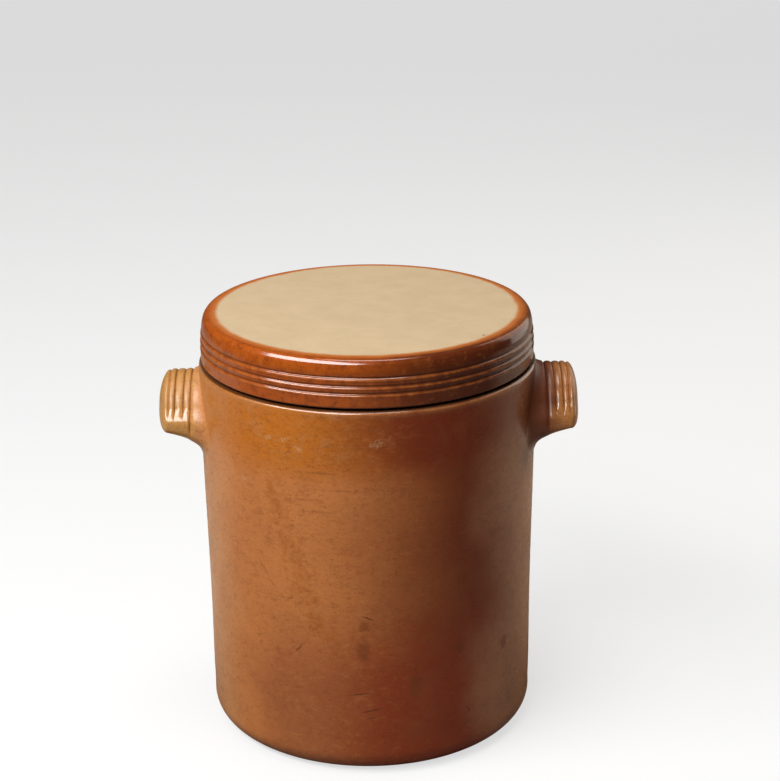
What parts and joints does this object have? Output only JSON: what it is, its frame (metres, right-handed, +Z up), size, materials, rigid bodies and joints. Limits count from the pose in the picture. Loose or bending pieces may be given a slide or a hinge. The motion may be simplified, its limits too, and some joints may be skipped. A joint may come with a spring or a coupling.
{
  "type": "lidded condiment pot",
  "caption": "Straight-sided glazed stoneware pot, shut, with a flat lid that has incised lines round its side and ribbed lug ears under the shoulder.",
  "frame": {"origin": "on the table, under the middle of the pot", "axes": "+X from ear to ear, +Y to the back, +Z up"},
  "size_m": [0.2084, 0.1664, 0.213],
  "materials": {
    "pot_glaze": "semi-gloss ash and iron glaze over stoneware, ochre to dark brown, finely pitted, with small iron specks",
    "lid_glaze": "semi-gloss red-brown glaze on the side, and an unglazed matt beige disc on the flat top"
  },
  "bodies": {
    "root": {"pot": "pot_glaze", "lid": "lid_glaze"}
  },
  "joints": []
}
